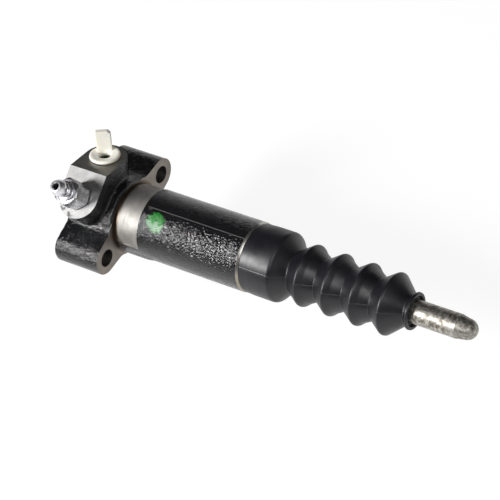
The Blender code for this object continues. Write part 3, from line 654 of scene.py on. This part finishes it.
print("bolt holes:", round(2 * BOLT_HOLE_R / MM, 1), "mm across,", round(2 * EAR_Y / MM, 1), "mm apart")

# %% Lathe tools
BORE_R = 12.7 * MM
BORE_MOUTH = 92.0 * MM
COLLAR_R = 17.5 * MM
COLLAR_END = 14.5 * MM
UNDERCUT_R = 16.8 * MM
TURNING_R = 20.0 * MM

facing = [
    (0.0, UNDERCUT_R), (0.0, FAR), (2.2 * MM, FAR), (2.2 * MM, COLLAR_R), (1.6 * MM, COLLAR_R),
    (1.6 * MM, UNDERCUT_R),
]
turning = [(1.5 * MM, COLLAR_R), (1.5 * MM, TURNING_R), (COLLAR_END, TURNING_R), (COLLAR_END, COLLAR_R)]
seat = metres([
    (95.0, 0.0), (95.0, 25.0), (73.1, 25.0), (73.1, 18.2), (74.6, 17.3), (74.6, 16.0), (87.1, 16.0),
    (88.0, 15.1), (88.0, 0.0),
])
bore = [(BORE_MOUTH, 0.0), (BORE_MOUTH, BORE_R), (BODY_BACK, BORE_R), (BODY_BACK, 0.0)]


def ring(name, outline, metal):
    """A closed turned ring from (x, radius) points, carrying the finish that it leaves."""
    return give(turned(name, outline + outline[:1], 128), metal)


turning_ring = ring("turning", turning, collar_metal)
spared_pad = slab("spared_pad", pad_outline, 5.0 * MM, FAR, FACING_MINUS_Y)
cut(turning_ring, spared_pad)
cutters = [
    ring("facing", facing, flange_metal),
    turning_ring,
    give(turned("seat", seat, 128), seat_metal),
    mill("inlet_mill", 1, inlet_metal),
    mill("bleed_mill", -1, bleed_metal),
    give(turned("bore", bore), bore_metal),
    port_drill("inlet_drill", 1, INLET_THREAD_R),
    port_drill("bleed_drill", -1, BLEED_THREAD_R),
    bolt_drill("upper_drill", EAR_Y),
    bolt_drill("lower_drill", -EAR_Y),
]
print("cutters:", ", ".join(cutter.name for cutter in cutters))

# %% [markdown]
# ## The machined body
# All the cuts are made one after another on the same casting, as the real one is machined. It then rides
# on the fixed body and stands in for the CAD casting in every render.

# %% Machine the casting
for cutter in cutters:
    cut(casting, cutter)
casting = settle(casting, "painted_casting")
throw_away(*cutters, spared_pad)
shade(casting, 40.0)
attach(casting, "cylinder")
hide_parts("cylinder_body")
print("machined casting:", len(casting.data.polygons), "faces")
print("its finishes:", ", ".join(metal.name for metal in casting.data.materials))

# %% [markdown]
# ## Moulded rubber
# The bellows is moulded in black rubber with a satin skin. It shows a dull bloom in patches, a fine
# grain, shallow dents and a raised line down each side, where the mould closed. All of these are finer
# than the folds, so they belong in the finish and not in the mesh.

# %% Rubber finish
MOULD_SEAM = math.radians(-50.0)
SEAM_INNER = 0.006
SEAM_OUTER = 0.022
RUBBER_HEIGHT = 0.12 * MM
RUBBER_SKINS = ((0.005, 0.005, 0.007), (0.012, 0.012, 0.016))
SEAM_BLACK = (0.004, 0.004, 0.005)

rubber, tree, shader = finish("boot_rubber", Metallic=0.0, IOR=1.52)
where, x, y, z = place(tree)
bloom = noise(tree, where, 90.0, 4.0, 0.6)
grain = noise(tree, where, 1600.0, 3.0, 0.5)
dents = noise(tree, where, 75.0, 1.5, 0.4)

around = maths(tree, "ARCTAN2", y, z)
near_side = maths(tree, "ABSOLUTE", maths(tree, "SUBTRACT", around, MOULD_SEAM))
far_side = maths(tree, "ABSOLUTE", maths(tree, "SUBTRACT", near_side, math.pi))
seam = ramp(tree, maths(tree, "MINIMUM", near_side, far_side), 1.0, 0.0, SEAM_INNER, SEAM_OUTER)

skin = blend_colours(tree, bloom, *RUBBER_SKINS)
skin = blend_colours(tree, maths(tree, "MULTIPLY", seam, 0.5), skin, SEAM_BLACK)
tree.links.new(skin, shader.inputs["Base Color"])
tree.links.new(ramp(tree, bloom, 0.34, 0.50, 0.3, 0.7), shader.inputs["Roughness"])
height = maths(tree, "ADD", maths(tree, "MULTIPLY", grain, 0.12), maths(tree, "MULTIPLY", seam, 0.7))
height = maths(tree, "ADD", height, maths(tree, "MULTIPLY", dents, 5.0))
tree.links.new(bump(tree, height, RUBBER_HEIGHT), shader.inputs["Normal"])
print("rubber:", len(tree.nodes), "nodes")

# %% [markdown]
# ## The shape of the bellows
# It is one piece: a cuff that grips the barrel, four folds and a neck with a lip on the rod. The cuff
# swells gently from its edge, each fold has a rounded crest and a tight valley, and the flanks that face
# the rod are slightly hollow. Its outline is drawn once, from the lip back to the cuff.

# %% Outline of the bellows
BOOT_START = 74.8 * MM
CUFF_R = 17.8 * MM
CUFF_START_R = 17.6 * MM
CUFF_BORE_R = 16.3 * MM
SWELL_X = 81.0 * MM
SWELL_LENGTH = 4.0 * MM
SWELL_STEPS = 12
SHOULDER_X = 91.6 * MM
SHOULDER_R = 2.6 * MM
FLANK_BEND = 2.9 * MM
FLANK_R = 13.45 * MM
CREST_R = 15.98 * MM
VALLEY_R = 10.8 * MM
FIRST_CREST = 105.5 * MM
PITCH = 15.35 * MM
FOLDS = 4
NECK_X = 160.6 * MM
NECK_R = 8.0 * MM
LIP = [
    (161.8, 6.3), (161.8, 7.4, 0.3), (163.8, 7.8, 0.4),
    (163.9, 9.3, 0.7), (162.4, 9.4, 0.8), (161.6, 8.3, 0.5),
]


def bellows_outline():
    """The outside from the lip back to the cuff, with a turned-in edge at both ends."""
    line = metres(LIP)
    line.append((NECK_X, NECK_R, 0.6 * MM))
    for fold in reversed(range(FOLDS)):
        crest = FIRST_CREST + fold * PITCH
        if fold < FOLDS - 1:
            line.append((crest + FLANK_BEND, FLANK_R, 5.0 * MM))
        line.append((crest, CREST_R, 1.3 * MM))
        line.append((crest - PITCH / 2, VALLEY_R, 0.7 * MM))
    line.append((SHOULDER_X, CUFF_R, SHOULDER_R))
    for i in range(SWELL_STEPS, -1, -1):
        swell = (CUFF_R - CUFF_START_R) * math.sin(math.pi / 2 * i / SWELL_STEPS) ** 2
        line.append((SWELL_X - SWELL_LENGTH * (1 - i / SWELL_STEPS), CUFF_START_R + swell))
    line += [(BOOT_START, CUFF_START_R, 0.35 * MM), (BOOT_START, CUFF_BORE_R)]
    return rounded(line, 8)


line = bellows_outline()
print("bellows outline:", len(line), "points, from x", round(BOOT_START / MM, 1), "to", LIP[3][0], "mm")

# %% [markdown]
# ## A bellows in two halves
# The bellows crosses two joints: the piston slides in the barrel, and the rod swivels in the piston. A
# blend crosses one joint only, so the bellows is turned as two halves that meet in the last valley.

# %% Turn the two halves
split_x = FIRST_CREST + 2.5 * PITCH
split = min(range(len(line)), key=lambda i: abs(line[i][0] - split_x))
fixed_half = turned("bellows_cuff_and_folds", line[split:], 144)
moving_half = turned("bellows_neck_and_fold", line[:split + 1], 144)
for half in (fixed_half, moving_half):
    give(half, rubber)
    half.data.shade_smooth()
    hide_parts("dust_boot")
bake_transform(fixed_half)
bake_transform(moving_half)
print("bellows:", len(fixed_half.data.polygons), "+", len(moving_half.data.polygons), "faces")

# %% [markdown]
# ## Drawn steel
# The push rod is plain drawn steel, stained from handling. Drawing it through a die leaves streaks along
# its length, which come from noise that is squeezed along X. A finer noise gives the stains, and the
# ground nose is a shade duller.

# %% Rod finish
NOSE_X = 187.1 * MM
STREAK_SQUEEZE = (0.12, 1.0, 1.0)
STEELS = ((0.17, 0.15, 0.125), (0.58, 0.56, 0.51))
NOSE_STEEL = (0.24, 0.23, 0.21)

rod_metal, tree, shader = finish("drawn_rod_steel", Metallic=1.0)
where, x, y, z = place(tree)
drawn = step(tree, "ShaderNodeMapping", {"Vector": where, "Scale": STREAK_SQUEEZE}).outputs[0]
streaks = noise(tree, drawn, 1500.0, 4.0, 0.65)
mottle = noise(tree, where, 520.0, 5.0, 0.65)
nose = ramp(tree, x, 0.0, 1.0, NOSE_X - 0.2 * MM, NOSE_X + 0.3 * MM)
steel = blend_colours(tree, ramp(tree, mottle, 0.0, 1.0, 0.38, 0.62), *STEELS)
steel = blend_colours(tree, maths(tree, "MULTIPLY", nose, 0.3), steel, NOSE_STEEL)
tree.links.new(steel, shader.inputs["Base Color"])
tree.links.new(ramp(tree, streaks, 0.42, 0.56, 0.3, 0.7), shader.inputs["Roughness"])
tree.links.new(bump(tree, maths(tree, "ADD", streaks, mottle), 0.04 * MM), shader.inputs["Normal"])
print("rod steel:", len(tree.nodes), "nodes")

# %% [markdown]
# ## Push rod
# The nose is ground to a taper and a round, which leaves a faint step where the grinding starts. The
# other end is a ball that sits in the piston. Both ends and the step are in one outline, turned once.

# %% Rod
ROD_R = 6.0 * MM
ROD_END = 196.4 * MM
NOSE_R = 5.1 * MM
SOCKET_X = 70.45 * MM

nose_arc = arc((ROD_END - NOSE_R, 0.0), NOSE_R, 0.0, 80.0, 16)
nose_step = [(NOSE_X + 0.2 * MM, ROD_R - 0.18 * MM), (NOSE_X, ROD_R)]
ball_arc = arc((SOCKET_X, 0.0), ROD_R, 90.0, 180.0, 16)
rod = give(turned("push_rod_steel", nose_arc + nose_step + ball_arc), rod_metal)
shade(rod, 30.0)
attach(rod, "push_rod")
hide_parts("push_rod")
print("rod:", len(rod.data.polygons), "faces,", round((ROD_END - SOCKET_X + ROD_R) / MM, 1), "mm long")

# %% [markdown]
# ## Zinc plating
# The bleed screw is plated so that it does not rust. Bright zinc is nearly a mirror, with a cloudy
# tarnish that changes its colour and its gloss together, and very fine scratches.

# %% Zinc finish
ZINCS = ((0.46, 0.46, 0.49), (0.88, 0.88, 0.90))

zinc, tree, shader = finish("zinc_plate", Metallic=1.0)
where = place(tree)[0]
tarnish = noise(tree, where, 380.0, 4.0, 0.6)
scratch = noise(tree, where, 2600.0, 3.0, 0.6)
plating = blend_colours(tree, ramp(tree, tarnish, 0.0, 1.0, 0.35, 0.65), *ZINCS)
tree.links.new(plating, shader.inputs["Base Color"])
tree.links.new(ramp(tree, tarnish, 0.32, 0.22, 0.3, 0.7), shader.inputs["Roughness"])
tree.links.new(bump(tree, scratch, 0.008 * MM), shader.inputs["Normal"])
print("zinc:", len(tree.nodes), "nodes")

# %% [markdown]
# ## Bleed screw
# A bleed screw is turned from hexagon bar. Here, too, it starts as a length of bar: a six-sided cylinder
# with its long edges eased. Lathe work comes after that and is done with turned tools. One trims the
# bar's corners, the next adds the stem with its two rings and the bulb that a bleed hose is pushed over,
# and a drill opens it.

# %% Hexagon bar
HEX_R = 7.3 * MM
HEX_LOW = 0.9 * MM
HEX_HIGH = 12.0 * MM
HEX_TURN = math.radians(10.0)

work = bmesh.new()
bmesh.ops.create_cone(
    work, cap_ends=True, segments=6, radius1=HEX_R, radius2=HEX_R, depth=HEX_HIGH - HEX_LOW)
long_edges = [edge for edge in work.edges if abs(edge.verts[0].co.z - edge.verts[1].co.z) > MM]
bmesh.ops.bevel(work, geom=long_edges, offset=0.25 * MM, segments=3, profile=0.5, affect="EDGES")
mesh = bpy.data.meshes.new("hexagon")
work.to_mesh(mesh)
work.free()
to_middle = Matrix.Translation((0.0, 0.0, (HEX_HIGH + HEX_LOW) / 2))
mesh.transform(port_frame(-1) @ Matrix.Rotation(HEX_TURN, 4, "Z") @ to_middle)
screw = place_object("bleed_screw_plated", mesh)
print("hexagon bar:", len(mesh.polygons), "faces")

# %% Lathe work on the screw
TRIM_R = 6.2 * MM
TRIM_ROUND = 0.3 * MM
CLEAR_R = 8.0 * MM

trimmed = [
    (HEX_HIGH, 0.0), (HEX_HIGH, TRIM_R, TRIM_ROUND), (11.0 * MM, CLEAR_R),
    (1.9 * MM, CLEAR_R), (HEX_LOW, TRIM_R, TRIM_ROUND), (HEX_LOW, 0.0),
]
stem = metres([
    (22.6, 0.0), (22.6, 2.85, 0.35), (19.7, 4.2, 0.7), (18.9, 4.2, 0.5), (17.3, 3.15, 0.5),
    (16.3, 3.1, 0.3), (16.0, 3.9, 0.25), (15.1, 3.9, 0.25), (14.8, 3.2, 0.25), (14.1, 3.2, 0.25),
    (13.6, 4.9, 0.4), (12.4, 5.0, 0.4), (11.6, 5.2), (0.2, 5.2), (-0.4, 3.9), (-12.5, 3.9), (-15.2, 1.6),
    (-15.2, 0.0),
])
drilled = metres([(30.0, 0.0), (30.0, 2.1), (22.7, 2.1), (22.1, 1.6), (6.0, 1.6), (6.0, 0.0)])
lathe_work = (("INTERSECT", rounded(trimmed, 3)), ("UNION", rounded(stem, 4)), ("DIFFERENCE", drilled))
for operation, outline in lathe_work:
    tool = turned("lathe_tool", outline, 72, port_frame(-1))
    cut(screw, tool, operation)
    screw = settle(screw)
    throw_away(tool)
give(screw, zinc)
shade(screw, 30.0)
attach(screw, "bleed_screw")
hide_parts("bleed_screw")
print("screw:", len(screw.data.polygons), "faces")

# %% [markdown]
# ## Ivory nylon
# A plug keeps dirt out of the inlet port until the cylinder is fitted. It is moulded in soft nylon, and
# light goes a little way into that, so the finish uses some subsurface scattering. Down in the plug's
# hollow hardly any light comes back, and a dark olive there says so. How deep and how far out a point
# lies is worked out on the port's own axis.

# %% Nylon finish
IVORIES = ((0.88, 0.85, 0.74), (0.95, 0.93, 0.85))
DEEP_IVORY = (0.035, 0.045, 0.018)
DEEP_FROM = 0.9 * MM
DEEP_TO = -1.2 * MM
WALL_FROM = 3.5 * MM
WALL_TO = 3.8 * MM

nylon, tree, shader = finish("ivory_nylon", Metallic=0.0, Roughness=0.42)
where = place(tree)[0]
ivory = blend_colours(tree, noise(tree, where, 260.0), *IVORIES)

from_port = step(tree, "ShaderNodeVectorMath", {0: where, 1: INLET_CENTRE}, operation="SUBTRACT").outputs[0]
up = measure(tree, "DOT_PRODUCT", from_port, port_frame(1).col[2].xyz)
away = measure(tree, "LENGTH", from_port)
out = maths(tree, "SUBTRACT", maths(tree, "POWER", away, 2.0), maths(tree, "POWER", up, 2.0))
out = maths(tree, "SQRT", out)
deep = ramp(tree, up, 1.0, 0.0, DEEP_TO, DEEP_FROM)
within = ramp(tree, out, 1.0, 0.0, WALL_FROM, WALL_TO)
inside = maths(tree, "MULTIPLY", deep, within)

tree.links.new(blend_colours(tree, inside, ivory, DEEP_IVORY), shader.inputs["Base Color"])
tree.links.new(bump(tree, noise(tree, where, 1300.0), 0.03 * MM), shader.inputs["Normal"])
shader.inputs["Subsurface Weight"].default_value = 0.35
shader.inputs["Subsurface Radius"].default_value = (2.0 * MM, 1.6 * MM, 1.0 * MM)
shader.inputs["Subsurface Scale"].default_value = 1.0
print("nylon:", len(tree.nodes), "nodes")

# %% [markdown]
# ## Transit plug
# The plug has a dished head on a shank, and a tab to pull it out by. Every edge is round, and the tab
# flows into the head. A turned head and a flat tab are fused by a fine voxel remesh and smoothed, which
# makes that flow by itself.

# %% Head and tab
TAB_SETBACK = 2.9 * MM
TAB_BACK = 5.8 * MM
TAB_HALF = 3.85 * MM
TAB_LOW = 0.3 * MM
TAB_TOP = 12.8 * MM
TAB_CORNER = 1.4 * MM
TAB_TURN = math.radians(36.0)
PLUG_VOXEL = 0.2 * MM

head = metres([
    (1.5, 0.0), (1.5, 4.0), (2.1, 6.6, 0.8), (2.0, 7.7, 0.5), (1.3, 7.9, 0.4), (0.4, 7.9, 0.4), (0.3, 5.5),
    (-8.4, 5.5), (-9.0, 4.9), (-9.0, 0.0),
])
tab_outline = [
    (-TAB_HALF, TAB_LOW), (TAB_HALF, TAB_LOW), (TAB_HALF, TAB_TOP - TAB_CORNER),
    (TAB_HALF - TAB_CORNER, TAB_TOP), (-TAB_HALF, TAB_TOP),
]
upright = port_frame(1) @ Matrix.Rotation(TAB_TURN, 4, "Z") @ Matrix.Rotation(math.pi / 2, 4, "X")
plug = join([
    turned("transit_plug_nylon", rounded(head, 4), 96, port_frame(1)),
    slab("tab", tab_outline, -TAB_BACK, -TAB_SETBACK, upright),
])
fuse_and_melt(plug, PLUG_VOXEL, 6)
plug = settle(plug)
print("head and tab:", len(plug.data.polygons), "faces")

# %% [markdown]
# ## The plug's hollow
# Moulded plastic has thin walls, so the plug is hollow, with a small funnel at its mouth. The hollow is a
# turned shape. It is first cut flat behind the tab, because the tab's wall runs down through it, and is
# then cut out of the plug.

# %% Hollow
funnel = metres([(2.7, 0.0), (2.7, 4.1), (1.3, 3.6, 0.8), (-0.4, 2.7, 0.6), (-6.0, 2.3), (-6.0, 0.0)])
hollow = turned("hollow", rounded(funnel, 4), 64, port_frame(1))
behind_tab = slab("behind_tab", WIDE_SQUARE, -FAR, -TAB_SETBACK, upright)
cut(hollow, behind_tab)
cut(plug, hollow)
plug = settle(plug)
throw_away(hollow, behind_tab)
give(plug, nylon)
shade(plug, 50.0)
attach(plug, "transit_plug")
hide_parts("transit_plug")
print("plug:", len(plug.data.polygons), "faces")

# %% [markdown]
# ## Pieces inside the bore
# The piston train is out of sight behind the bellows and the barrel, but anyone can take those away in a
# 3-D model, so its pieces get true finishes too. They are turned, pressed or drawn metal, and one rubber
# seal. Their CAD shapes are good enough to keep, all but the spring's.

# %% Inner finishes
alloy = machined("turned_alloy", (0.72, 0.72, 0.73), 0.32, 2200.0)
pressed = machined("pressed_steel", (0.50, 0.50, 0.50), 0.38, 900.0, (54 * MM, 0.0, 0.0))
washer_metal = machined("washer_steel", (0.45, 0.45, 0.46), 0.40, 1100.0, (84 * MM, 0.0, 0.0))
wire_metal = machined("spring_wire", (0.32, 0.33, 0.35), 0.33, 1900.0)
inner_finishes = {
    "piston": alloy,
    "spring_seat": pressed,
    "stop_washer": washer_metal,
    "snap_ring": wire_metal,
    "piston_cup": rubber,
}
for node_name, metal in inner_finishes.items():
    give(nodes[node_name], metal)
print("inner pieces finished:", ", ".join(inner_finishes))

# %% [markdown]
# ## Return spring
# A light coil spring keeps the piston against the rod, and shortens as the piston moves. A bevelled curve
# is the simplest way to draw wire: the curve gives the coil, its bevel the wire.

# %% Spring
COIL_R = 7.8 * MM
WIRE_R = 0.6 * MM
COIL_START = -19.1 * MM
COIL_END = 53.1 * MM
COIL_TURNS = 9
POINTS_A_TURN = 36

coil_line = bpy.data.curves.new("coil", "CURVE")
coil_line.dimensions = "3D"
coil_line.bevel_depth = WIRE_R
coil_line.bevel_resolution = 3
coil_line.use_fill_caps = True
spline = coil_line.splines.new("POLY")
count = COIL_TURNS * POINTS_A_TURN
spline.points.add(count)
for i, point in enumerate(spline.points):
    angle = math.tau * COIL_TURNS * i / count
    along = COIL_START + (COIL_END - COIL_START) * i / count
    point.co = (along, COIL_R * math.cos(angle), COIL_R * math.sin(angle), 1.0)
coil = settle(place_object("return_spring_coil", coil_line))
give(coil, wire_metal)
coil.data.shade_smooth()
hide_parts("return_spring")
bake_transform(coil)
print("spring:", len(coil.data.polygons), "faces")

# %% [markdown]
# ## A white floor
# The photograph is a plain product shot on white. A white floor lit by strong lamps would wash the part
# out. The floor here is dark by nature and glows white only to the camera and in reflections, so it
# lights nothing. It lies well below the part, and the shadow on it stays faint. It runs on far enough for
# low views to see no end of it.

# %% Floor
FLOOR_Z = -60 * MM
FLOOR_SIZE = 40.0
FLOOR_GLOW = 0.89
FLOOR_TONES = ((0.12, 0.12, 0.12), (0.13, 0.13, 0.13))

floor_finish, tree, shader = finish("pale_floor", Roughness=0.9)
tone = blend_colours(tree, noise(tree, place(tree)[0], 3.0, 2.0), *FLOOR_TONES)
tree.links.new(tone, shader.inputs["Base Color"])
rays = step(tree, "ShaderNodeLightPath").outputs
seen = maths(tree, "MAXIMUM", rays["Is Camera Ray"], rays["Is Glossy Ray"])
seen = maths(tree, "MAXIMUM", seen, rays["Is Transmission Ray"])
shader.inputs["Emission Color"].default_value = (1.0, 1.0, 1.0, 1.0)
tree.links.new(maths(tree, "MULTIPLY", seen, FLOOR_GLOW), shader.inputs["Emission Strength"])
bpy.ops.mesh.primitive_plane_add(size=FLOOR_SIZE, location=(0.0, 0.0, FLOOR_Z))
floor = bpy.context.object
floor.name = "floor"
floor.data.materials.append(floor_finish)
print("floor:", FLOOR_SIZE, "m wide,", round(-FLOOR_Z / MM), "mm below the bore's axis")

# %% [markdown]
# ## Lamps
# Two square soft lamps do the work. The stronger one stands behind on the left like a window and draws
# the long highlights. The other, larger and weaker, stands on the camera's side and opens the shadows.
# The world is kept dim, so black paint stays black.

# %% World and lamps
WORLD_STRENGTH = 0.045
LAMP_AIM = Vector((70 * MM, 0.0, 0.0))

world = bpy.data.worlds.new("studio")
bpy.context.scene.world = world
world.use_nodes = True
background = world.node_tree.nodes["Background"]
background.inputs["Color"].default_value = (1.0, 1.0, 1.0, 1.0)
background.inputs["Strength"].default_value = WORLD_STRENGTH


def lamp(name, where, size, watts):
    """A square soft lamp aimed at the part."""
    light = bpy.data.lights.new(name, "AREA")
    light.size = size
    light.energy = watts
    made = place_object(name, light)
    made.location = where
    made.rotation_euler = (LAMP_AIM - Vector(where)).to_track_quat("-Z", "Y").to_euler()
    print("lamp", name + ":", watts, "W,", size, "m wide")


lamp("window", (-0.43, -0.60, 0.62), 0.26, 11.5)
lamp("camera_side", (0.70, -0.30, 0.95), 0.55, 5.0)

# %% [markdown]
# ## The camera
# Its place was worked out from the photograph: a long lens about a metre away, looking down from the push
# rod's side and rolled so that the rod falls towards the lower right.

# %% Camera
CAMERA_AT = Vector((0.5794, -0.4050, 0.8438))
CAMERA_AIM = Vector((0.0720, 0.0, 0.0056))
CAMERA_ROLL = math.radians(-26.04)
LENS_MM = 156.8
SENSOR_MM = 36.0

lens = bpy.data.cameras.new("camera")
lens.lens = LENS_MM
lens.sensor_width = SENSOR_MM
camera = place_object("camera", lens)
look = (CAMERA_AIM - CAMERA_AT).to_track_quat("-Z", "Y").to_matrix().to_4x4()
camera.matrix_world = Matrix.Translation(CAMERA_AT) @ look @ Matrix.Rotation(CAMERA_ROLL, 4, "Z")
bpy.context.scene.camera = camera
bpy.context.scene.view_settings.view_transform = "Standard"
print("camera:", round((CAMERA_AIM - CAMERA_AT).length, 2), "m away")

# %% [markdown] ## End
